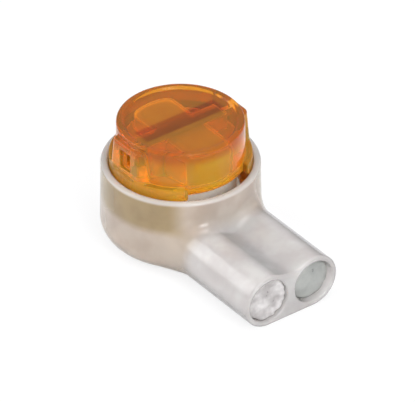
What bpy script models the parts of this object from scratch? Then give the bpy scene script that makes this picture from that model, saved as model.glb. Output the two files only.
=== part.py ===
# Gel-filled wire connector: a two-port butt connector whose cap presses a slotted contact onto
# both wires at once. Metres, +Z up. The origin is on the underside, on the axis of the cup.
# The two wire ports run out along -Y, the contact lies along X, and the cap is modelled raised.

import math

import bmesh
import bpy
from mathutils import Vector

# Wire ports
port_spacing = 0.0035
port_outer_radius = 0.0018
port_bore_radius = 0.0012
port_mouth_radius = 0.00146
port_mouth_depth = 0.0030
port_reach = 0.0115
port_end_round = 0.00012
port_valley_fillet = 0.0015
port_root_fillet = 0.0008

# Cup of the housing
cup_height = 0.0055
cup_draft = 0.00009
cup_wall = 0.00055
cup_floor = 0.0006
cup_bottom_fillet = 0.0015
cup_floor_fillet = 0.00015
rim_fillet = 0.00015
rim_lead = 0.0001

# Cradle on the cup's floor, which holds the wires under the contact
channel_end = 0.0017
cradle_wall = 0.000195
cradle_drop = 0.0001
cradle_gap = 0.00015

# Cap
wire_headroom = 0.0003
cap_proud = 0.0005
cap_ledge = 0.00049
cap_draft = 0.00005
cap_top_thickness = 0.00077
cap_wall = 0.0006
button_sink = 0.00035
chamber_width = 0.0032
cap_edge_round = 0.00013
cap_lip_width = 0.0005
cap_lip_height = 0.00015
skirt_height = 0.00285
skirt_wall = 0.00079
skirt_clearance = 0.00006
skirt_lead = 0.0001
stop_gap = 0.00015
arch_clearance = 0.00005
relief_width = 0.00462
relief_step = 0.00004
ear_setback = 0.00019
ear_width = 0.0030
ear_flare = 0.0003
ear_corner = 0.0005
ear_top_round = 0.0002
ear_drop = 0.00035
ear_root = 0.00025
window_width = 0.0010
window_depth = 0.00055
window_height = 0.0013
window_drop = 0.00045
slit_width = 0.00034
slit_inset = 0.00015

# Contact, bent from one strip into a U
contact_side = 0.00135
contact_width = 0.0013
contact_thickness = 0.0004
contact_bend = 0.0005
contact_clearance = 0.00005
contact_seat_gap = 0.00003
slot_width = 0.0003
slot_height = 0.0029
slot_mouth = 0.0011
slot_lead = 0.0007
notch_width = 0.0006
notch_height = 0.0015
blade_chamfer = 0.0003

# Gel
gel_clearance = 0.00005
gel_skirt_gap = 0.0002
gel_chamber_gap = 0.0001
gel_level = 0.0055
left_gel_setback = 0.00012
right_gel_setback = 0.0003

round_steps = 72
bore_steps = 36
arc_steps = 6
fillet_steps = 8
fillet_end = 60
fillet_sink = 0.00002
past = 0.0005
weld = 0.0000005

# Places worked out from the sizes above, from the wires outwards
port_half = port_spacing / 2
port_axis_height = port_outer_radius
valley_reach = port_outer_radius + port_valley_fillet
valley_height = math.sqrt(valley_reach**2 - port_half**2)
valley_angle = math.degrees(math.atan2(valley_height, port_half))
cradle_radius = math.hypot(port_half + port_bore_radius, channel_end) + cradle_wall
cradle_height = port_axis_height - cradle_drop
skirt_bore = cradle_radius + cradle_gap
skirt_radius = skirt_bore + skirt_wall
cup_bore = skirt_radius + skirt_clearance
cup_radius = cup_bore + cup_wall
cap_stop = cup_floor + stop_gap
cap_travel = port_axis_height + port_bore_radius + wire_headroom - cap_stop
cap_bottom = cap_stop + cap_travel
cap_top = cup_height + cap_proud + cap_travel
cap_ceiling = cap_top - cap_top_thickness
cap_radius = skirt_radius - cap_ledge
cap_bore = cap_radius - cap_wall
skirt_top = cap_bottom + skirt_height
button_floor = skirt_top - button_sink
ear_reach = skirt_radius - ear_setback
ear_bottom = skirt_top - ear_root
ear_top = cap_top - ear_drop
arch_radius = port_bore_radius + arch_clearance
arch_height = port_axis_height + cap_travel
contact_length = port_spacing + 2 * contact_side
contact_top = cap_ceiling - contact_seat_gap
contact_bottom = cap_bottom
pocket_length = contact_length + 2 * contact_clearance
pocket_width = contact_width + 2 * contact_clearance
window_top = ear_top - window_drop
window_bottom = window_top - window_height


def clear_scene():
    for thing in list(bpy.data.objects):
        bpy.data.objects.remove(thing)


def new_collection(name):
    made = bpy.data.collections.new(name)
    bpy.context.scene.collection.children.link(made)
    return made


clear_scene()
connector = new_collection("Gel_filled_wire_connector")
cutters = new_collection("Cutters")


def arc(centre, radius, start, end, steps=arc_steps):
    # Points on a circle from one angle to another, in degrees, both ends included.
    turns = [math.radians(start + (end - start) * i / steps) for i in range(steps + 1)]
    return [(centre[0] + radius * math.cos(t), centre[1] + radius * math.sin(t)) for t in turns]


def rounded_box(width, depth, corner):
    # A rectangle about the origin with four round corners, anticlockwise.
    x, y = width / 2 - corner, depth / 2 - corner
    return (
        arc((x, -y), corner, -90, 0)
        + arc((x, y), corner, 0, 90)
        + arc((-x, y), corner, 90, 180)
        + arc((-x, -y), corner, 180, 270)
    )


def solid(name, bm, group):
    # Turns a finished bmesh into an object of the group, closed and facing out.
    bmesh.ops.remove_doubles(bm, verts=bm.verts, dist=weld)
    bmesh.ops.recalc_face_normals(bm, faces=bm.faces)
    mesh = bpy.data.meshes.new(name)
    bm.to_mesh(mesh)
    bm.free()
    made = bpy.data.objects.new(name, mesh)
    group.objects.link(made)
    if group is cutters:
        made.hide_render = True
        made.display_type = "WIRE"
    return made


def turned(name, profile, group=cutters, steps=round_steps):
    # A profile of (radius, height) points, from the axis out and back to it, spun about Z.
    bm = bmesh.new()
    points = [bm.verts.new((radius, 0, height)) for radius, height in profile]
    edges = [bm.edges.new(pair) for pair in zip(points, points[1:])]
    bmesh.ops.spin(
        bm,
        geom=points + edges,
        cent=(0, 0, 0),
        axis=(0, 0, 1),
        angle=2 * math.pi,
        steps=steps,
        use_merge=True,
    )
    return solid(name, bm, group)


def extruded(name, outline, start, end, along="Z", group=cutters):
    # An outline drawn across the named axis, filled and extruded from start to end.
    curve = bpy.data.curves.new(name, "CURVE")
    curve.dimensions = "2D"
    curve.fill_mode = "BOTH"
    curve.extrude = (end - start) / 2
    spline = curve.splines.new("POLY")
    spline.points.add(len(outline) - 1)
    for point, place in zip(spline.points, outline):
        point.co = (*place, 0, 1)
    spline.use_cyclic_u = True
    drawn = bpy.data.objects.new(name, curve)
    bm = bmesh.new()
    bm.from_mesh(bpy.data.meshes.new_from_object(drawn))
    bpy.data.objects.remove(drawn)
    middle = (start + end) / 2
    for vert in bm.verts:
        x, y, z = vert.co
        vert.co = {
            "X": (middle + z, x, y),
            "Y": (x, middle - z, y),
            "Z": (x, y, middle + z),
        }[along]
    return solid(name, bm, group)


def lofted(name, sections, group=cutters):
    # Closed loops of 3-D points, all with the same count, joined one to the next and capped at both ends.
    bm = bmesh.new()
    loops = [[bm.verts.new(place) for place in section] for section in sections]
    for near, far in zip(loops, loops[1:]):
        for i in range(len(near)):
            bm.faces.new((near[i - 1], near[i], far[i], far[i - 1]))
    bm.faces.new(loops[0])
    bm.faces.new(loops[-1])
    return solid(name, bm, group)


def block(name, low, high, group=cutters):
    bm = bmesh.new()
    bmesh.ops.create_cube(bm, size=1)
    for vert in bm.verts:
        vert.co = [a + (b - a) * (c + 0.5) for a, b, c in zip(low, high, vert.co)]
    return solid(name, bm, group)


def laid(name, x, profile, group=cutters):
    # A turned solid laid along -Y at the height of the ports: its heights are distances from the cup's axis.
    made = turned(name, profile, group, bore_steps)
    for vert in made.data.vertices:
        across, up, out = vert.co
        vert.co = (x + across, -out, port_axis_height + up)
    return made


def combine(target, other, operation="DIFFERENCE"):
    # Joins to, cuts from or meets the target with the other solid, and keeps the result.
    step = target.modifiers.new(other.name, "BOOLEAN")
    step.operation = operation
    step.solver = "EXACT"
    step.object = other
    graph = bpy.context.evaluated_depsgraph_get()
    bm = bmesh.new()
    bm.from_mesh(bpy.data.meshes.new_from_object(target.evaluated_get(graph)))
    bmesh.ops.remove_doubles(bm, verts=bm.verts, dist=weld)
    target.modifiers.remove(step)
    bm.to_mesh(target.data)
    bm.free()


def both_ports():
    return (("left", -port_half), ("right", port_half))


def ports_top(grow, start, end):
    # The two ports seen from their mouths, with the valley between them: right side, valley, left side.
    # Grown outwards, it is the line that the centre of a ball rolling over them follows.
    radius, valley = port_outer_radius + grow, port_valley_fillet - grow
    turn = 180 - valley_angle
    dip = arc((0, port_axis_height + valley_height), valley, -valley_angle, -turn)
    return (
        arc((port_half, port_axis_height), radius, start, turn, 2 * arc_steps)
        + dip[1:-1]
        + arc((-port_half, port_axis_height), radius, 180 - turn, end, 2 * arc_steps)
    )


def root_fillet():
    # The concave blend of ports and cup, left by a ball that rolls round the corner between them.
    ball = port_root_fillet
    shoulder = cup_radius - cup_bottom_fillet
    sections = []
    rolled = ports_top(ball, -fillet_end, 180 + fillet_end)
    touched = ports_top(0, -fillet_end, 180 + fillet_end)
    for (x, z), (port_x, port_z) in zip(rolled, touched):
        below = min(0, z - cup_bottom_fillet)
        reach = shoulder + math.sqrt((cup_bottom_fillet + ball) ** 2 - below**2)
        centre = Vector((x, -math.sqrt(reach**2 - x**2), z))
        outwards = Vector((centre.x, centre.y, 0)) / reach
        skeleton = outwards * shoulder + Vector((0, 0, z - below))
        to_cup = (skeleton - centre).normalized()
        to_port = Vector((port_x - x, 0, port_z - z)).normalized()
        spread = to_port.angle(to_cup)
        curve = [to_port.slerp(to_cup, i / fillet_steps) * ball for i in range(fillet_steps + 1)]
        corner = (to_port + to_cup) * (ball + past) / (1 + math.cos(spread))
        sunk = [curve[0] + to_port * fillet_sink] + curve[1:-1] + [curve[-1] + to_cup * fillet_sink]
        sections.append([centre + offset for offset in sunk + [corner]])
    return lofted("root_fillet", sections)


def make_housing():
    # The cup and its two ports are one moulding.
    rim = cup_radius - cup_draft
    cup = (
        [(0, cup_height)]
        + arc((rim - rim_fillet, cup_height - rim_fillet), rim_fillet, 90, 0)
        + arc(
            (cup_radius - cup_bottom_fillet, cup_bottom_fillet), cup_bottom_fillet, 0, -90, fillet_steps
        )
        + [(0, 0)]
    )
    housing = turned("housing", cup, connector)
    inside = cup_bore / 2
    tube = (
        [(0, port_reach)]
        + arc((port_outer_radius - port_end_round, port_reach - port_end_round), port_end_round, 90, 0, 2)
        + [(port_outer_radius, inside), (0, inside)]
    )
    for side, x in both_ports():
        combine(housing, laid(side + "_port", x, tube), "UNION")
    web = [(-port_half, 0), (port_half, 0)] + ports_top(0, 0, 180)[2 * arc_steps : -2 * arc_steps]
    combine(housing, extruded("port_web", web, port_end_round - port_reach, -inside, "Y"), "UNION")
    combine(housing, root_fillet(), "UNION")

    corner = (cup_bore - cup_floor_fillet, cup_floor + cup_floor_fillet)
    cavity = (
        [(0, cup_height + past), (cup_bore + rim_lead + past, cup_height + past)]
        + [(cup_bore, cup_height - rim_lead)]
        + arc(corner, cup_floor_fillet, 0, -90, 3)
        + [(0, cup_floor)]
    )
    combine(housing, turned("cup_cavity", cavity))

    low = cup_floor / 2
    puck = [(0, cradle_height), (cradle_radius, cradle_height), (cradle_radius, low), (0, low)]
    combine(housing, turned("wire_cradle", puck), "UNION")
    flare = (port_mouth_radius - port_bore_radius) / port_mouth_depth
    bore = [
        (0, port_reach + past),
        (port_mouth_radius + flare * past, port_reach + past),
        (port_bore_radius, port_reach - port_mouth_depth),
        (port_bore_radius, -channel_end),
        (0, -channel_end),
    ]
    for side, x in both_ports():
        combine(housing, laid(side + "_bore", x, bore))
    for side in (-1, 1):
        near = contact_width / 2 - contact_thickness - contact_clearance
        far = contact_width / 2 + contact_clearance
        slot = block(
            "blade_slot",
            (-pocket_length / 2, min(side * near, side * far), cup_floor),
            (pocket_length / 2, max(side * near, side * far), cradle_height + past),
        )
        combine(housing, slot)
    return housing


def chamber_side(side, near, gap=0):
    # One half of the button's chamber seen from above, from a flat side out to the bore, drawn in by the gap.
    half = chamber_width / 2 - gap
    radius = cap_bore - gap
    corner = math.degrees(math.acos(half / radius))
    outline = [(-half, near), (half, near)] + arc((0, 0), radius, corner, 180 - corner, 2 * arc_steps)
    return [(x, side * y) for x, y in outline]


def make_cap():
    # A round button with a stepped skirt, two flared ears, a pocket that holds the contact by its ends,
    # and a chamber that leaves the gel room on both sides of the contact.
    foot = cap_radius + cap_draft
    lead = skirt_lead / 2
    profile = (
        [(0, cap_top - cap_lip_height), (cap_radius - cap_lip_width, cap_top - cap_lip_height)]
        + [(cap_radius - cap_lip_width + cap_lip_height, cap_top)]
        + arc((cap_radius - cap_edge_round, cap_top - cap_edge_round), cap_edge_round, 90, 0, 4)
        + [(foot, skirt_top), (skirt_radius - lead, skirt_top), (skirt_radius, skirt_top - lead)]
        + [(skirt_radius, cap_bottom + skirt_lead), (skirt_radius - skirt_lead, cap_bottom)]
        + [(skirt_bore, cap_bottom), (skirt_bore, button_floor), (0, button_floor)]
    )
    cap = turned("cap", profile, connector)

    sections = [(-ear_flare, 0, ear_bottom)] + [
        (0, ear_top_round - inwards, ear_top - ear_top_round + up)
        for inwards, up in arc((0, 0), ear_top_round, 0, 90, 3)
    ]
    ears = lofted(
        "ears",
        [
            [
                (x, y, z)
                for x, y in rounded_box(
                    2 * (ear_reach - inset), ear_width - 2 * (narrow + inset), ear_corner - inset
                )
            ]
            for narrow, inset, z in sections
        ],
    )
    limit = [(0, cap_top), (skirt_radius, cap_top), (skirt_radius, cap_bottom), (0, cap_bottom)]
    combine(ears, turned("ear_limit", limit), "INTERSECT")
    combine(cap, ears, "UNION")
    pocket = block(
        "contact_pocket",
        (-pocket_length / 2, -pocket_width / 2, button_floor - past),
        (pocket_length / 2, pocket_width / 2, cap_ceiling),
    )
    combine(cap, pocket)
    for side in (-1, 1):
        chamber = extruded("gel_chamber", chamber_side(side, 0), button_floor - past, cap_ceiling)
        combine(cap, chamber)
    for end in (-1, 1):
        outer = end * skirt_radius
        floor = end * (ear_reach - window_depth)
        window = block(
            "ear_window",
            (min(floor, outer), -window_width / 2, window_bottom),
            (max(floor, outer), window_width / 2, window_top),
        )
        combine(cap, window)
        inner = end * contact_length / 2
        slit = block(
            "ear_slit",
            (min(inner, outer), -slit_width / 2, window_bottom + slit_inset),
            (max(inner, outer), slit_width / 2, window_top - slit_inset),
        )
        combine(cap, slit)

    relief = block(
        "front_relief",
        (-relief_width / 2, -skirt_radius - past, cap_bottom - past),
        (relief_width / 2, 0, skirt_top + past),
    )
    face = foot + relief_step
    kept = turned("relief_face", [(0, cap_top), (face, cap_top), (face, 0), (0, 0)])
    combine(relief, kept)
    combine(cap, relief)

    low = cap_bottom - past
    arch = (
        [(port_half + arch_radius, low)]
        + arc((port_half, arch_height), arch_radius, 0, 90)
        + arc((-port_half, arch_height), arch_radius, 90, 180)
        + [(-port_half - arch_radius, low)]
    )
    combine(cap, extruded("wire_arch", arch, -skirt_radius - past, -channel_end, "Y"))
    return cap


def make_contact():
    # A strip bent into a U, so that each wire is gripped by a slot in both legs.
    out, into = contact_width / 2, contact_width / 2 - contact_thickness
    inner_bend = contact_bend - contact_thickness
    shape = (
        [(out, contact_bottom)]
        + arc((out - contact_bend, contact_top - contact_bend), contact_bend, 0, 90, 4)
        + arc((-out + contact_bend, contact_top - contact_bend), contact_bend, 90, 180, 4)
        + [(-out, contact_bottom), (-into, contact_bottom)]
        + arc((-out + contact_bend, contact_top - contact_bend), inner_bend, 180, 90, 2)
        + arc((out - contact_bend, contact_top - contact_bend), inner_bend, 90, 0, 2)
        + [(into, contact_bottom)]
    )
    half = contact_length / 2
    contact = extruded("contact", shape, -half, half, "X", connector)

    low = contact_bottom - past
    lead = (slot_mouth - slot_width) / 2 / slot_lead
    for side, x in both_ports():
        foot = slot_width / 2 + lead * (slot_lead + past)
        slot = (
            [(x - foot, low), (x + foot, low), (x + slot_width / 2, contact_bottom + slot_lead)]
            + arc((x, contact_bottom + slot_height - slot_width / 2), slot_width / 2, 0, 180)
            + [(x - slot_width / 2, contact_bottom + slot_lead)]
        )
        combine(contact, extruded(side + "_slot", slot, -contact_width, contact_width, "Y"))
    notch = (
        [(notch_width / 2, low)]
        + arc((0, contact_bottom + notch_height - notch_width / 2), notch_width / 2, 0, 180)
        + [(-notch_width / 2, low)]
    )
    combine(contact, extruded("middle_notch", notch, -contact_width, contact_width, "Y"))
    for side in (-1, 1):
        edge = side * half
        corner = [
            (edge - side * blade_chamfer, contact_bottom),
            (edge - side * (blade_chamfer + past), low),
            (edge + side * past, low),
            (edge + side * past, contact_bottom + blade_chamfer + past),
            (edge, contact_bottom + blade_chamfer),
        ]
        combine(contact, extruded("blade_corner", corner, -contact_width, contact_width, "Y"))
    return contact


def make_gel():
    # The sealant fills both bores, the middle of the cup and the cap's chamber, clear of the moving skirt.
    low = cradle_height + gel_clearance
    radius = skirt_bore - gel_skirt_gap
    gel = turned("gel", [(0, gel_level), (radius, gel_level), (radius, low), (0, low)], connector)
    for side in (-1, 1):
        outline = chamber_side(side, pocket_width / 2, gel_chamber_gap)
        lobe = extruded("gel_lobe", outline, (low + gel_level) / 2, cap_ceiling - gel_chamber_gap)
        combine(gel, lobe, "UNION")
    thin = port_bore_radius - gel_clearance
    flare = (port_mouth_radius - port_bore_radius) / port_mouth_depth
    for (side, x), setback in zip(both_ports(), (left_gel_setback, right_gel_setback)):
        filled = [
            (0, port_reach - setback),
            (thin + flare * (port_mouth_depth - setback), port_reach - setback),
            (thin, port_reach - port_mouth_depth),
            (thin, gel_clearance - channel_end),
            (0, gel_clearance - channel_end),
        ]
        combine(gel, laid(side + "_gel", x, filled), "UNION")
    room = block(
        "contact_room",
        (-pocket_length / 2, -pocket_width / 2, contact_bottom - gel_clearance),
        (pocket_length / 2, pocket_width / 2, gel_level + past),
    )
    combine(gel, room)
    return gel


def material(name, colour, roughness, transmission=0.0, metallic=0.0):
    made = bpy.data.materials.new(name)
    made.use_nodes = True
    shader = made.node_tree.nodes["Principled BSDF"]
    shader.inputs["Base Color"].default_value = (*colour, 1)
    shader.inputs["Roughness"].default_value = roughness
    shader.inputs["Transmission Weight"].default_value = transmission
    shader.inputs["Metallic"].default_value = metallic
    return made


def finish(piece, look):
    piece.data.materials.clear()
    piece.data.materials.append(look)
    piece.data.shade_smooth()
    piece.data.set_sharp_from_angle(angle=math.radians(30))


finish(make_housing(), material("Milky_polypropylene", (0.62, 0.58, 0.55), 0.25, 0.6))
finish(make_cap(), material("Amber_polycarbonate", (0.62, 0.22, 0.03), 0.1, 0.8))
finish(make_contact(), material("Tinned_brass", (0.45, 0.33, 0.22), 0.35, metallic=1.0))
finish(make_gel(), material("Clear_gel", (0.72, 0.72, 0.68), 0.4, 0.6))
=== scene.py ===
import math

import bpy
import numpy as np
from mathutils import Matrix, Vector


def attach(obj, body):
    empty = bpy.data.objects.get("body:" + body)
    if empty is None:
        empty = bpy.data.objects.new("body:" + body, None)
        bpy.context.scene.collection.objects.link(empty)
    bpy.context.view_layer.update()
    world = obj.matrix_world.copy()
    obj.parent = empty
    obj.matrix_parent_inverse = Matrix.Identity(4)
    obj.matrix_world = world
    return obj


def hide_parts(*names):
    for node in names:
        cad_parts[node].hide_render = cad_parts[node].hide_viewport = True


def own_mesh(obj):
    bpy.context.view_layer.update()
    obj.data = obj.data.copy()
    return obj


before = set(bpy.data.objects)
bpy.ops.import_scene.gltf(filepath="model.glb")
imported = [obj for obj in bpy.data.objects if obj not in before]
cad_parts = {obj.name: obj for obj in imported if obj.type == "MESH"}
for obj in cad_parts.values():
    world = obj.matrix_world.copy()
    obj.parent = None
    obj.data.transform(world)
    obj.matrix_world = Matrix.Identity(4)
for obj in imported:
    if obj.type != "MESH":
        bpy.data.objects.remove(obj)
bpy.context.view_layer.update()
print("frame loaded:", ", ".join(sorted(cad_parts)))

# All sizes below are in millimetres, in the frame's own axes: +Z up, the ports out along -Y.
millimetre = 0.001
detail = 1.0


# Shader helpers

class Value:
    # Wraps a node socket, so that shader maths reads as an expression.
    def __init__(self, sheet, socket):
        self.sheet = sheet
        self.socket = socket

    def maths(self, operation, *others):
        values = dict(enumerate((self, *others)))
        return self.sheet.add("ShaderNodeMath", {"operation": operation}, values)

    def __add__(self, other):
        return self.maths("ADD", other)

    __radd__ = __add__

    def __mul__(self, other):
        return self.maths("MULTIPLY", other)

    __rmul__ = __mul__

    def smooth(self, none, full):
        # 0 at the first level and 1 at the second, whichever is higher, with an even curve between them.
        return self.sheet.add(
            "ShaderNodeMapRange",
            {"interpolation_type": "SMOOTHSTEP"},
            {"Value": self, "From Min": none, "From Max": full},
        )


class Sheet:
    # One material's node tree.
    def __init__(self, name):
        self.material = bpy.data.materials.new(name)
        self.material.use_nodes = True
        self.tree = self.material.node_tree
        self.shader = self.tree.nodes["Principled BSDF"]
        self.place = self.add("ShaderNodeTexCoord", {}, {}, "Object")

    def add(self, kind, settings, sockets, output=0):
        node = self.tree.nodes.new(kind)
        for name, value in settings.items():
            setattr(node, name, value)
        for name, value in sockets.items():
            self.feed(node.inputs[name], value)
        return Value(self, node.outputs[output])

    def feed(self, socket, value):
        if isinstance(value, Value):
            self.tree.links.new(value.socket, socket)
        else:
            socket.default_value = value

    def surface(self, **sockets):
        for name, value in sockets.items():
            self.feed(self.shader.inputs[name.replace("_", " ")], value)

    def noise(self, size, fine=2.0, rough=0.5):
        # Size is the pattern's length in millimetres.
        scale = 1 / (size * millimetre)
        sockets = {"Vector": self.place, "Scale": scale, "Detail": fine, "Roughness": rough}
        return self.add("ShaderNodeTexNoise", {}, sockets)

    def mix(self, factor, first, second, blend="MIX"):
        # Each colour is a triple or another node's output.
        colours = [c if isinstance(c, Value) else (*c, 1) for c in (first, second)]
        settings = {"data_type": "RGBA", "blend_type": blend}
        return self.add("ShaderNodeMix", settings, {0: factor, 6: colours[0], 7: colours[1]}, 2)

    def tint(self, colour, by):
        return self.mix(1.0, colour, by, "MULTIPLY")

    def along(self, axis):
        # How far a point lies along an axis, in millimetres.
        sockets = {0: self.place, 1: [a / millimetre for a in axis]}
        return self.add("ShaderNodeVectorMath", {"operation": "DOT_PRODUCT"}, sockets, "Value")

    def fromAxis(self):
        # How far a point lies from the cup's axis, in millimetres.
        sockets = {0: self.place, 1: (1 / millimetre, 1 / millimetre, 0)}
        flat = self.add("ShaderNodeVectorMath", {"operation": "MULTIPLY"}, sockets)
        return self.add("ShaderNodeVectorMath", {"operation": "LENGTH"}, {0: flat}, "Value")

    def bump(self, height, depth, strength):
        # Depth is in millimetres.
        sockets = {"Height": height, "Distance": depth * millimetre, "Strength": strength}
        return self.add("ShaderNodeBump", {}, sockets)

    def absorb(self, colour, density):
        node = self.tree.nodes.new("ShaderNodeVolumeAbsorption")
        node.inputs["Color"].default_value = (*colour, 1)
        node.inputs["Density"].default_value = density
        self.tree.links.new(node.outputs[0], self.tree.nodes["Material Output"].inputs["Volume"])


# Shape helpers: each shape is a distance from its surface, negative inside, worked out on whole arrays

def roundMeet(a, b, fillet):
    # Where both hold: the larger distance, with an edge of that radius where the two surfaces cross.
    corner = np.hypot(np.maximum(fillet + a, 0), np.maximum(fillet + b, 0))
    return np.minimum(-fillet, np.maximum(a, b)) + corner


def roundJoin(a, b, fillet):
    # Where either holds: the smaller distance, with a fillet of that radius in the corner between them.
    return -roundMeet(-a, -b, fillet)


def roundCut(a, b, fillet):
    # Where the first holds and the second doesn't, with an edge of that radius.
    return roundMeet(a, -b, fillet)


def slab(value, low, high):
    return np.maximum(low - value, value - high)


skinning = {
    "slides": 3,
    "probe": 0.02,  # how far apart the slope is measured, as a share of a cell
    "leastSlope": 0.25,  # squared
    "longestSlide": 0.5,  # as a share of a cell
}


def settled(points, field, cell):
    # Slides each point down the slope of the distance onto the surface itself.
    probe, longest = skinning["probe"] * cell, skinning["longestSlide"] * cell
    for _ in range(skinning["slides"]):
        here = field(*points.T)
        slope = np.stack(
            [(field(*(points + probe * np.eye(3)[k]).T) - here) / probe for k in range(3)], 1
        )
        size = np.maximum((slope**2).sum(1), skinning["leastSlope"])
        move = here[:, None] * slope / size[:, None]
        points = points - np.clip(move, -longest, longest)
    return points


def skin(name, field, low, high, cell):
    # Samples the distance on a grid, puts one point in each cell that the surface crosses, at the mean of
    # its crossings on the cell's edges, and joins the four cells round each crossed grid edge with a face.
    cell = cell * detail
    axes = [np.arange(a - 2 * cell, b + 3 * cell, cell) for a, b in zip(low, high)]
    x, y, z = np.meshgrid(*axes, indexing="ij", sparse=True)
    value = field(x, y, z) + np.zeros((len(axes[0]), len(axes[1]), len(axes[2])))
    cells = tuple(n - 1 for n in value.shape)
    total = np.zeros((*cells, 3))
    count = np.zeros(cells)
    crossings = []
    for axis in range(3):
        a = np.moveaxis(value, axis, 0)
        start, end = a[:-1], a[1:]
        crossed = (start < 0) != (end < 0)
        share = np.where(crossed, start / np.where(crossed, start - end, 1), 0)
        crossed, share = np.moveaxis(crossed, 0, axis), np.moveaxis(share, 0, axis)
        inwards = np.moveaxis(start < 0, 0, axis)
        crossings.append((crossed, inwards))
        others = [k for k in range(3) if k != axis]
        for da in (0, 1):
            for db in (0, 1):
                window = [slice(None)] * 3
                window[others[0]] = slice(da, da + cells[others[0]])
                window[others[1]] = slice(db, db + cells[others[1]])
                hit, part = crossed[tuple(window)], share[tuple(window)]
                offset = np.zeros((*cells, 3))
                offset[..., axis] = part
                offset[..., others[0]] = da
                offset[..., others[1]] = db
                total += offset * hit[..., None]
                count += hit
    active = np.nonzero(count)
    number = np.full(cells, -1)
    number[active] = np.arange(len(active[0]))
    origin = np.array([a[0] for a in axes])
    points = origin + (np.stack(active, 1) + total[active] / count[active][:, None]) * cell
    faces = []
    for axis in range(3):
        crossed, inwards = crossings[axis]
        others = [k for k in range(3) if k != axis]
        inner = [slice(None)] * 3
        inner[others[0]] = slice(1, -1)
        inner[others[1]] = slice(1, -1)
        where = np.argwhere(crossed[tuple(inner)])
        facing = inwards[tuple(inner)][tuple(where.T)]
        where[:, others[0]] += 1
        where[:, others[1]] += 1
        corners = []
        for da, db in ((-1, -1), (0, -1), (0, 0), (-1, 0)):
            at = where.copy()
            at[:, others[0]] += da
            at[:, others[1]] += db
            corners.append(number[tuple(at.T)])
        quads = np.stack(corners, 1)
        flip = facing if axis == 1 else ~facing
        quads[flip] = quads[flip][:, ::-1]
        faces.append(quads)
    faces = np.concatenate(faces)
    mesh = bpy.data.meshes.new(name)
    mesh.from_pydata((settled(points, field, cell) * millimetre).tolist(), [], faces.tolist())
    mesh.shade_smooth()
    piece = bpy.data.objects.new(name, mesh)
    bpy.context.scene.collection.objects.link(piece)
    print(f"  {name}: {len(faces) * 2} triangles")
    return piece


def dress(piece, material, body, slot, *nodes):
    piece.data.materials.append(material)
    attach(piece, body)
    if nodes:
        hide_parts(*nodes)


# Housing

port = {
    "spacing": 3.5,
    "outer": 1.8,
    "bore": 1.2,
    "mouth": 1.46,
    "mouthDepth": 3.0,
    "flareLimit": 1.2,  # how far the mouth's taper is drawn on, in mouth depths
    "reach": 11.5,
    "endRound": 0.14,
    "valleyFillet": 1.5,
    "rootFillet": 0.8,
}

cup = {
    "radius": 5.15,
    "height": 5.5,
    "draft": 0.09,
    "bore": 4.6,
    "floor": 0.6,
    "bottomFillet": 1.5,
    "rimFillet": 0.16,
    "floorFillet": 0.15,
    "cradleRadius": 3.6,
    "cradleHeight": 1.7,
    "cradleRound": 0.05,
    "channelEnd": 1.7,
    "slotSpan": (0.2, 0.7),
    "slotHalf": 3.15,
    "cutRound": 0.07,
    "box": ((-5.2, -11.55, 0.0), (5.2, 5.2, 5.5)),
    "cell": 0.1,
}

milky = {
    "cloud": (2.4, 3.0, 0.55),  # a noise's size, detail and roughness
    "cloudSpan": (0.35, 0.65),
    "grain": (0.35, 2.0),
    "grainBump": (0.006, 0.6),  # depth and strength
    "dark": (0.79, 0.75, 0.73),
    "light": (0.92, 0.90, 0.88),
    "rim": (0.97, 0.94, 0.90),
    "rimHeights": (5.25, 5.45),
    "paintedCupTint": (0.87, 0.77, 0.66),
    "cupFrom": (-5.8, -4.6),
    "paintedSkirtGlow": (0.71, 0.64, 0.41),
    "skirtHeights": (2.9, 3.6),
    "skirtFrom": (-5.4, -5.1),
    "skirtSides": (2.6, 3.7),
    "skirtBack": (-0.5, 0.5),
    "portShade": (0.56, 0.57, 0.57),
    "cupShade": (0.76, 0.76, 0.76),
    "aslantSpan": (0.36, 0.82),
}


def portDistance(x, z):
    # Distance of a point from the nearer port's axis, both ports mirroring each other about X 0.
    return np.hypot(np.abs(x) - port["spacing"] / 2, z - port["outer"])


def boreRadius(y):
    past = (-y - (port["reach"] - port["mouthDepth"])) / port["mouthDepth"]
    return port["bore"] + (port["mouth"] - port["bore"]) * np.clip(past, 0, port["flareLimit"])


def portsField(x, y, z):
    # Two round tubes side by side with a filleted valley on top and a flat underside between them.
    half = port["spacing"] / 2
    left = np.hypot(x + half, z - port["outer"]) - port["outer"]
    right = np.hypot(x - half, z - port["outer"]) - port["outer"]
    base = np.maximum(np.abs(x) - half, slab(z, 0, port["outer"]))
    section = np.minimum(roundJoin(left, right, port["valleyFillet"]), base)
    return roundMeet(np.maximum(section, y), -port["reach"] - y, port["endRound"])


def housingField(x, y, z):
    # A round cup with the ports blended into it, less the cup's inside, the bores and the blade slots.
    r = np.hypot(x, y)
    wall = r - (cup["radius"] - cup["draft"] * z / cup["height"])
    body = roundMeet(wall, -z, cup["bottomFillet"])
    body = roundMeet(body, z - cup["height"], cup["rimFillet"])
    body = np.maximum(roundJoin(body, portsField(x, y, z), port["rootFillet"]), -z)
    inside = roundMeet(r - cup["bore"], cup["floor"] - z, cup["floorFillet"])
    cradle = roundMeet(r - cup["cradleRadius"], z - cup["cradleHeight"], cup["cradleRound"])
    inside = np.maximum(inside, -cradle)
    bores = np.maximum(portDistance(x, z) - boreRadius(y), y - cup["channelEnd"])
    slots = np.maximum(np.abs(x) - cup["slotHalf"], cup["floor"] - z)
    slots = np.maximum(slab(np.abs(y), *cup["slotSpan"]), slots)
    inside = np.minimum(np.minimum(inside, bores), slots)
    return roundCut(body, inside, cup["cutRound"])


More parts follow.
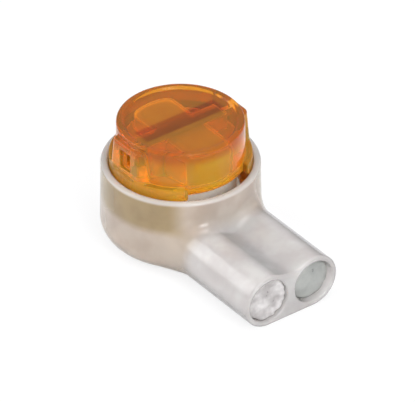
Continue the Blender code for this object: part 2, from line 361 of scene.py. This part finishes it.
def milkyPlastic():
    # Natural polypropylene: cloudy, with faint flow marks. Painted light and shade: a painted highlight at
    # the rim, a warmer, darker tint on the cup's wall for the amber's glow through it and the wall's shade, a
    # painted amber glow where the skirt stands behind it, and painted shade where a face is seen aslant,
    # deepest on the ports.
    sheet = Sheet("milkyPolypropylene")
    cloud = sheet.noise(*milky["cloud"])
    grain = sheet.noise(*milky["grain"])
    across, out, height = sheet.along((1, 0, 0)), sheet.along((0, 1, 0)), sheet.along((0, 0, 1))
    rimLow, rimHigh = milky["rimHeights"]
    below = height.smooth(rimHigh, rimLow)
    cupPart = out.smooth(*milky["cupFrom"]) * below
    beside = across.maths("ABSOLUTE").smooth(*milky["skirtSides"])
    beside = beside.maths("MAXIMUM", out.smooth(*milky["skirtBack"]))
    skirtGlowPart = height.smooth(*milky["skirtHeights"]) * below * beside * out.smooth(*milky["skirtFrom"])
    plain = sheet.mix(cloud.smooth(*milky["cloudSpan"]), milky["dark"], milky["light"])
    # Painted highlight: the rim is painted lighter than the rest.
    plain = sheet.mix(height.smooth(rimLow, rimHigh), plain, milky["rim"])
    # Painted light and shade: the cup's wall is painted warmer and darker, for the amber's glow through it
    # and the wall's shade.
    paintedWarm = sheet.mix(cupPart, plain, sheet.tint(plain, milky["paintedCupTint"]))
    # Painted glow: the amber skirt's colour is painted onto the wall in front of it.
    tinted = sheet.mix(skirtGlowPart, paintedWarm, sheet.tint(paintedWarm, milky["paintedSkirtGlow"]))
    shade = sheet.mix(cupPart, milky["portShade"], milky["cupShade"])
    facing = sheet.add("ShaderNodeLayerWeight", {}, {"Blend": 0.5}, "Facing")
    aslant = facing.smooth(*milky["aslantSpan"]) * below
    sheet.surface(
        Base_Color=sheet.mix(aslant, tinted, sheet.tint(tinted, shade)),
        Roughness=0.13 + 0.1 * cloud,
        Transmission_Weight=0.56,
        IOR=1.4,
        Specular_IOR_Level=0.4,
        Coat_Weight=0.3,
        Coat_Roughness=0.12,
        Normal=sheet.bump(grain, *milky["grainBump"]),
    )
    return sheet.material


print("housing")
housing = skin("housingShell", housingField, *cup["box"], cup["cell"])
dress(housing, milkyPlastic(), "housing_body", "milky_polypropylene", "housing")


# Cap

cap = {
    "top": 8.55,
    "radius": 4.05,
    "draft": 0.05,
    "bore": 3.45,
    "ceiling": 7.78,
    "bottom": 3.3,
    "lipInner": 3.6,
    "lipHeight": 0.15,
    "lipRound": 0.08,
    "edgeRound": 0.14,
    "skirtTop": 6.15,
    "skirtRadius": 4.54,
    "skirtBore": 3.75,
    "skirtTopRound": 0.08,
    "skirtFootRound": 0.1,
    "skirtBoreRound": 0.12,
    "skirtFillet": 0.06,
    "buttonFloor": 5.8,
    "chamberHalf": 1.6,
    "chamberRound": 0.5,
    "earReach": 4.35,
    "earHalf": 1.5,
    "earFlare": 0.3,
    "earCorner": 0.5,
    "earRound": 0.2,
    "earTop": 8.2,
    "earBottom": 5.9,
    "earFillet": 0.08,
    "pocketHalf": (3.15, 0.7),
    "windowHalf": 0.5,
    "windowSpan": (6.45, 7.75),
    "windowFrom": 4.1,
    "windowRound": 0.1,
    "slitHalf": 0.17,
    "slitSpan": (6.6, 7.6),
    "slitFrom": 3.1,
    "reliefHalf": 2.31,
    "reliefStep": 0.04,
    "reliefRound": 0.06,
    "archRadius": 1.25,
    "archHeight": 4.35,
    "archEnd": -1.7,
    "cutRound": 0.05,
    "box": ((-4.6, -4.6, 3.3), (4.6, 4.6, 8.55)),
    "cell": 0.075,
}

amber = {
    "cloud": (1.8, 2.0),
    "cloudSpan": (0.3, 0.7),
    "dark": (1.0, 0.62, 0.05),
    "light": (1.0, 0.76, 0.08),
    "innerRadii": (3.9, 3.7),
    "innerHeights": (8.2, 8.0),
    "topHeights": (8.2, 8.45),
    "paintedDeep": (0.76, 0.36, 0.05),
    "deepHeights": (7.4, 8.2),
    "deepRadii": (2.6, 3.4),
    "paintedContactShade": (0.46, 0.15, 0.03),
    "contactShadeEnds": (3.3, 2.9),
    "contactShadeSides": (0.8, 0.55),
    "ripple": (0.8, 2.0),
    "rippleBump": (0.01, 0.5),
    "absorbed": (0.99, 0.83, 0.0),
    "density": 2300.0,
}


def chamberField(x, y):
    # The chamber across the button, with two flat sides and two round ends.
    sides, ends = np.abs(x) - cap["chamberHalf"], np.hypot(x, y) - cap["bore"]
    return roundMeet(sides, ends, cap["chamberRound"])


def capField(x, y, z):
    # A round button on a wider hollow skirt, with two ears, the contact's pocket and a chamber round it.
    # The chamber is cut after the ears are joined, because their bar runs right across the button.
    r = np.hypot(x, y)
    foot = cap["radius"] + cap["draft"]
    wall = r - (foot - cap["draft"] * (z - cap["skirtTop"]) / (cap["top"] - cap["skirtTop"]))
    button = roundMeet(np.maximum(wall, cap["bottom"] - z), z - cap["top"], cap["edgeRound"])
    dish = roundMeet(r - cap["lipInner"], cap["top"] - cap["lipHeight"] - z, cap["lipRound"])
    button = roundCut(button, dish, cap["lipRound"])
    skirt = roundMeet(r - cap["skirtRadius"], z - cap["skirtTop"], cap["skirtTopRound"])
    skirt = roundMeet(skirt, cap["bottom"] - z, cap["skirtFootRound"])
    relief = np.maximum(y, foot + cap["reliefStep"] - r)
    relief = np.maximum(np.abs(x) - cap["reliefHalf"], relief)
    skirt = roundCut(skirt, relief, cap["reliefRound"])
    inside = roundMeet(r - cap["skirtBore"], z - cap["buttonFloor"], cap["skirtBoreRound"])
    chamber = roundMeet(chamberField(x, y), z - cap["ceiling"], cap["chamberRound"])
    inside = np.minimum(inside, chamber)

    straight = cap["earTop"] - cap["earRound"]
    rise = (straight - z) / (straight - cap["earBottom"])
    half = cap["earHalf"] + cap["earFlare"] * np.maximum(rise, 0)
    ears = roundMeet(np.abs(x) - cap["earReach"], np.abs(y) - half, cap["earCorner"])
    ears = np.maximum(ears, r - cap["skirtRadius"])
    ears = roundMeet(ears, slab(z, cap["earBottom"], cap["earTop"]), cap["earRound"])
    shell = roundJoin(roundJoin(button, skirt, cap["skirtFillet"]), ears, cap["earFillet"])
    shell = roundCut(shell, inside, cap["cutRound"])

    halfLength, halfWidth = cap["pocketHalf"]
    pocket = np.maximum(np.abs(x) - halfLength, np.abs(y) - halfWidth)
    pocket = np.maximum(pocket, z - cap["ceiling"])
    window = np.abs(y) - cap["windowHalf"]
    window = roundMeet(window, slab(z, *cap["windowSpan"]), cap["windowRound"])
    window = np.maximum(window, cap["windowFrom"] - np.abs(x))
    slit = np.maximum(np.abs(y) - cap["slitHalf"], slab(z, *cap["slitSpan"]))
    slit = np.maximum(slit, cap["slitFrom"] - np.abs(x))
    shell = roundCut(shell, np.minimum(np.minimum(pocket, window), slit), cap["cutRound"])

    beyond = np.maximum(np.abs(x) - port["spacing"] / 2, 0)
    arch = np.hypot(beyond, np.maximum(z - cap["archHeight"], 0)) - cap["archRadius"]
    return roundCut(shell, np.maximum(arch, y - cap["archEnd"]), cap["cutRound"])


def amberPlastic():
    # Amber polycarbonate: a tinted plastic that deepens with the light's way through it, matt on its inner
    # faces, with painted shade making the top and the band under its edge deeper, and painted shade in a dark
    # stripe over the contact.
    sheet = Sheet("amberPolycarbonate")
    cloud = sheet.noise(*amber["cloud"])
    fromAxis, height = sheet.fromAxis(), sheet.along((0, 0, 1))
    inner = fromAxis.smooth(*amber["innerRadii"]) * height.smooth(*amber["innerHeights"])
    # Painted shade: the top and the band under its edge are painted deeper and darker.
    paintedDeep = height.smooth(*amber["deepHeights"]) * fromAxis.smooth(*amber["deepRadii"])
    paintedDeep = paintedDeep.maths("MAXIMUM", height.smooth(*amber["topHeights"]))
    side = sheet.mix(cloud.smooth(*amber["cloudSpan"]), amber["dark"], amber["light"])
    across, out = (sheet.along(axis).maths("ABSOLUTE") for axis in ((1, 0, 0), (0, 1, 0)))
    # Painted shade: the top is painted darker in a stripe over the contact.
    paintedContactShade = across.smooth(*amber["contactShadeEnds"]) * out.smooth(*amber["contactShadeSides"])
    paintedContactShade = paintedContactShade * height.smooth(*amber["topHeights"])
    sheet.surface(
        Base_Color=sheet.mix(paintedContactShade, sheet.mix(paintedDeep, side, amber["paintedDeep"]), amber["paintedContactShade"]),
        Roughness=0.06 + 0.08 * cloud + 0.2 * inner,
        Transmission_Weight=0.78,
        IOR=1.3,
        Specular_IOR_Level=0.15,
        Normal=sheet.bump(sheet.noise(*amber["ripple"]), *amber["rippleBump"]),
    )
    sheet.absorb(amber["absorbed"], amber["density"])
    return sheet.material


print("cap")
capPiece = skin("capMoulding", capField, *cap["box"], cap["cell"])
dress(capPiece, amberPlastic(), "cap_body", "amber_polycarbonate", "cap")


# Contact: the CAD node's own shape, in tinned brass

brass = {
    "stain": (0.9, 4.0, 0.6),
    "stainSpan": (0.35, 0.7),
    "shadeHeights": (7.3, 7.6),
    "tinDark": (0.52, 0.42, 0.32),
    "tinLight": (0.76, 0.66, 0.54),
    "shadeDark": (0.012, 0.005, 0.003),
    "shadeLight": (0.05, 0.02, 0.012),
    "grain": (0.15, 3.0),
    "grainBump": (0.004, 0.5),
}


def tinnedBrass():
    # Tin over brass, with painted shade: a near-black colour where the strip is bent over at the top.
    sheet = Sheet("tinnedBrass")
    stain = sheet.noise(*brass["stain"])
    # Painted shade: the top of the strip is painted near black where it is bent over.
    shadedTop = sheet.along((0, 0, 1)).smooth(*brass["shadeHeights"])
    tin = sheet.mix(stain.smooth(*brass["stainSpan"]), brass["tinDark"], brass["tinLight"])
    paintedShade = sheet.mix(stain.smooth(*brass["stainSpan"]), brass["shadeDark"], brass["shadeLight"])
    sheet.surface(
        Base_Color=sheet.mix(shadedTop, tin, paintedShade),
        Metallic=1.0,
        Roughness=0.38 + 0.2 * stain,
        Normal=sheet.bump(sheet.noise(*brass["grain"]), *brass["grainBump"]),
    )
    return sheet.material


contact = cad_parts["contact"]
contact.data.materials.clear()
contact.data.materials.append(tinnedBrass())
print("contact")


# Gel

gel = {
    "clearance": 0.02,
    "level": 5.48,
    "levelRipple": (0.06, 1.6),  # height and length of the waves
    "radius": 3.54,
    "bottom": 1.76,
    "puckRound": 0.2,
    "lobeTop": 7.67,
    "lobeRipple": (0.05, 1.9),
    "lobeGap": 0.11,
    "lobeFrom": 0.71,
    "lobeBottom": 4,
    "lobeRound": 0.45,
    "rodFrom": -3.5,
    "slot": (3.2, 0.71, 0.7),  # half its length, half its width and its floor's height
    "slotRound": 0.05,
    "plugEnd": -3.55,
    "plugRound": 0.1,
    "dome": 0.15,
    "setbacks": (0.28, 0.3),  # left and right, as are the two below
    "ripples": (0.08, 0.04),
    "rippleSize": (0.75, 1.1),
    "box": ((-3.6, -3.6, 0.6), (3.6, 3.6, 7.6)),
    "plugBox": ((-1.5, -11.5, 0.3), (1.5, -3.5, 3.3)),  # about its own port's axis in X
    "cell": 0.085,
    "cloud": (1.2, 3.0, 0.55),
    "cloudSpan": (0.3, 0.7),
    "capShadeHeights": (5.5, 6.0),
}


def ripples(x, y, z, size):
    # The gel's uneven surface: the mean of three sine waves that cross each other.
    k = 2 * math.pi / size
    first = np.sin(k * (x + 0.7 * z))
    second = np.sin(k * 1.3 * (y - 0.4 * x + 1))
    third = np.sin(k * 1.7 * (z + 0.6 * y))
    return (first + second + third) / 3


def plugField(side):
    # The gel in one bore: a rod a little thinner than the bore, with an uneven outer end that is hollow in
    # the left bore and domed in the right one.
    which = 0 if side < 0 else 1
    setback, ripple, size = (gel[key][which] for key in ("setbacks", "ripples", "rippleSize"))

    def field(x, y, z):
        across = np.hypot(x - side * port["spacing"] / 2, z - port["outer"])
        dome = gel["dome"] * (across / port["mouth"]) ** 2 * -side
        end = -(port["reach"] - setback) - y - dome + ripple * (1 + ripples(x, y, z, size))
        rod = across - (boreRadius(y) - gel["clearance"])
        return roundMeet(np.maximum(rod, y - gel["plugEnd"]), end, gel["plugRound"])

    return field


def heartField(x, y, z):
    # The gel in the cup: a puck with the channels' rods below it and the chamber's two lobes above it, less
    # the slot that the contact is pressed down.
    r = np.hypot(x, y)
    height, length = gel["levelRipple"]
    top = z - gel["level"] + height * (1 + ripples(x, y, z, length))
    puck = roundMeet(np.maximum(r - gel["radius"], gel["bottom"] - z), top, gel["puckRound"])
    height, length = gel["lobeRipple"]
    top = z - gel["lobeTop"] + height * (1 + ripples(x, y, z, length))
    lobes = np.maximum(gel["lobeFrom"] - np.abs(y), gel["lobeBottom"] - z)
    lobes = np.maximum(chamberField(x, y) + gel["lobeGap"], lobes)
    lobes = roundMeet(lobes, top, gel["lobeRound"])
    rods = portDistance(x, z) - (port["bore"] - gel["clearance"])
    rods = np.maximum(rods, slab(y, gel["rodFrom"], cup["channelEnd"] - gel["clearance"]))
    across, out, low = gel["slot"]
    slot = np.maximum(np.abs(x) - across, np.maximum(np.abs(y) - out, low - z))
    return roundCut(np.minimum(np.minimum(puck, lobes), rods), slot, gel["slotRound"])


def cloudyGel(name, dark, light, high=None):
    # A milky gel; high, when given, is painted shade, olive from the amber over it, for the gel up in the cap
    # round the contact.
    sheet = Sheet(name)
    cloud = sheet.noise(*gel["cloud"])
    colour = sheet.mix(cloud.smooth(*gel["cloudSpan"]), dark, light)
    if high:
        colour = sheet.mix(sheet.along((0, 0, 1)).smooth(*gel["capShadeHeights"]), colour, high)
    sheet.surface(
        Base_Color=colour,
        Roughness=0.22 + 0.16 * cloud,
        Transmission_Weight=0.3,
        IOR=1.3,
    )
    return sheet.material


print("gel")
gelLook = cloudyGel("cloudyGel", (0.48, 0.45, 0.44), (1.0, 0.97, 0.95))
# Painted shade: the right bore's gel is the same gel, painted darker grey for its recessed mouth.
shadedGelLook = cloudyGel("shadedGel", (0.40, 0.41, 0.39), (0.54, 0.55, 0.52))
# Painted light and shade: the cup's gel is painted paler than the bores' gel, and olive where it stands up in
# the cap.
oliveGelLook = cloudyGel("oliveGel", (0.92, 0.91, 0.86), (1.0, 1.0, 0.97), (0.47, 0.50, 0.32))
heart = skin("gelHeart", heartField, *gel["box"], gel["cell"])
dress(heart, oliveGelLook, "housing_body", "clear_gel", "gel")
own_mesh(heart)
for side, name, look in ((-1, "gelPlugLeft", gelLook), (1, "gelPlugRight", shadedGelLook)):
    middle = side * port["spacing"] / 2
    plugLow, plugHigh = ((middle + x, y, z) for x, y, z in gel["plugBox"])
    plug = skin(name, plugField(side), plugLow, plugHigh, gel["cell"])
    dress(plug, look, "housing_body", "clear_gel", "gel")


# Floor, light and camera

studio = {
    "floorHalf": 600,
    "floorDrop": 0.02,
    "floorColour": (0.95, 0.95, 0.95, 1),
    "floorRoughness": 0.9,
    "floorGlow": 0.8,
    "sky": (0.95, 0.96, 1.0, 1),
    "brightSide": (-0.1, -0.5, 0.6),
    "leans": (-0.6, 1.0),  # how far a direction leans to the bright side, and the light from there below
    "levels": (0.4, 0.95),
    "lampAim": (0, -3, 3),
    "lamps": {  # azimuth and elevation in degrees, distance and size in millimetres, watts
        "keyLamp": (-139, 32, 120, 90, 0.058),
        "topLamp": (10, 78, 120, 60, 0.03),
        "frontLamp": (-10, 35, 130, 60, 0.07),
    },
}

view = {
    "azimuth": -37.0,
    "elevation": 35.0,
    "distance": 381.0,
    "lens": 520.5,
    "clip": (0.01, 10),  # in metres
    "originPixel": (180.9, 230.1),
    "frameSize": (415, 402),
    "pixelsPerMillimetre": 15.75,
}


def whiteToCamera(tree, base, share, through=False):
    # Mixes a plain white glow into a closure for the camera's own rays, and for those that leave the plastic.
    rays = tree.nodes.new("ShaderNodeLightPath")
    glow = tree.nodes.new("ShaderNodeEmission")
    mix = tree.nodes.new("ShaderNodeMixShader")
    seen = tree.nodes.new("ShaderNodeMath")
    part = tree.nodes.new("ShaderNodeMath")
    seen.operation = "MAXIMUM"
    seen.inputs[1].default_value = 0
    part.operation = "MULTIPLY"
    part.inputs[1].default_value = share
    tree.links.new(rays.outputs["Is Camera Ray"], seen.inputs[0])
    if through:
        tree.links.new(rays.outputs["Is Transmission Ray"], seen.inputs[1])
    tree.links.new(seen.outputs[0], part.inputs[0])
    tree.links.new(part.outputs[0], mix.inputs[0])
    tree.links.new(base, mix.inputs[1])
    tree.links.new(glow.outputs[0], mix.inputs[2])
    return mix.outputs[0]


floorMesh = bpy.data.meshes.new("floor")
edge, under = studio["floorHalf"] * millimetre, -studio["floorDrop"] * millimetre
floorMesh.from_pydata(
    [(-edge, -edge, under), (edge, -edge, under), (edge, edge, under), (-edge, edge, under)],
    [],
    [(0, 1, 2, 3)],
)
floor = bpy.data.objects.new("floor", floorMesh)
bpy.context.scene.collection.objects.link(floor)
floorLook = bpy.data.materials.new("floorPaper")
floorLook.use_nodes = True
floorTree = floorLook.node_tree
floorShader = floorTree.nodes["Principled BSDF"]
floorShader.inputs["Base Color"].default_value = studio["floorColour"]
floorShader.inputs["Roughness"].default_value = studio["floorRoughness"]
floorGlow = whiteToCamera(floorTree, floorShader.outputs[0], studio["floorGlow"])
floorTree.links.new(floorGlow, floorTree.nodes["Material Output"].inputs["Surface"])
floorMesh.materials.append(floorLook)

world = bpy.data.worlds.new("studio")
bpy.context.scene.world = world
world.use_nodes = True
worldTree = world.node_tree
background = worldTree.nodes["Background"]
background.inputs["Color"].default_value = studio["sky"]
skyPlace = worldTree.nodes.new("ShaderNodeTexCoord")
skySide = worldTree.nodes.new("ShaderNodeVectorMath")
skySide.operation = "DOT_PRODUCT"
skySide.inputs[1].default_value = studio["brightSide"]
skyLevel = worldTree.nodes.new("ShaderNodeMapRange")
skyLevel.inputs["From Min"].default_value, skyLevel.inputs["From Max"].default_value = studio["leans"]
skyLevel.inputs["To Min"].default_value, skyLevel.inputs["To Max"].default_value = studio["levels"]
worldTree.links.new(skyPlace.outputs["Generated"], skySide.inputs[0])
worldTree.links.new(skySide.outputs["Value"], skyLevel.inputs["Value"])
worldTree.links.new(skyLevel.outputs["Result"], background.inputs["Strength"])
worldGlow = whiteToCamera(worldTree, background.outputs[0], 1.0, through=True)
worldTree.links.new(worldGlow, worldTree.nodes["World Output"].inputs["Surface"])


def towards(azimuth, elevation):
    # The direction to a place, by its azimuth from the front and its elevation, in degrees.
    a, e = math.radians(azimuth), math.radians(elevation)
    return Vector((math.sin(a) * math.cos(e), -math.cos(a) * math.cos(e), math.sin(e)))


def softLamp(name, azimuth, elevation, distance, size, watts):
    # A round area lamp aimed at the middle of the connector.
    away = towards(azimuth, elevation)
    lamp = bpy.data.lights.new(name, "AREA")
    lamp.shape = "DISK"
    lamp.size = size * millimetre
    lamp.energy = watts
    holder = bpy.data.objects.new(name, lamp)
    holder.location = away * distance * millimetre + Vector(studio["lampAim"]) * millimetre
    holder.rotation_mode = "QUATERNION"
    holder.rotation_quaternion = away.to_track_quat("Z", "Y")
    bpy.context.scene.collection.objects.link(holder)


for name, values in studio["lamps"].items():
    softLamp(name, *values)

back = towards(view["azimuth"], view["elevation"])
azimuth = math.radians(view["azimuth"])
right = Vector((math.cos(azimuth), math.sin(azimuth), 0))
up = back.cross(right)
aside = (view["frameSize"][0] / 2 - view["originPixel"][0]) / view["pixelsPerMillimetre"]
above = (view["originPixel"][1] - view["frameSize"][1] / 2) / view["pixelsPerMillimetre"]
lens = bpy.data.cameras.new("camera")
lens.lens = view["lens"]
lens.clip_start, lens.clip_end = view["clip"]
camera = bpy.data.objects.new("camera", lens)
camera.location = (back * view["distance"] + right * aside + up * above) * millimetre
camera.rotation_mode = "QUATERNION"
camera.rotation_quaternion = back.to_track_quat("Z", "Y")
bpy.context.scene.collection.objects.link(camera)
bpy.context.scene.camera = camera
bpy.context.scene.view_settings.view_transform = "Standard"
print("camera and light")
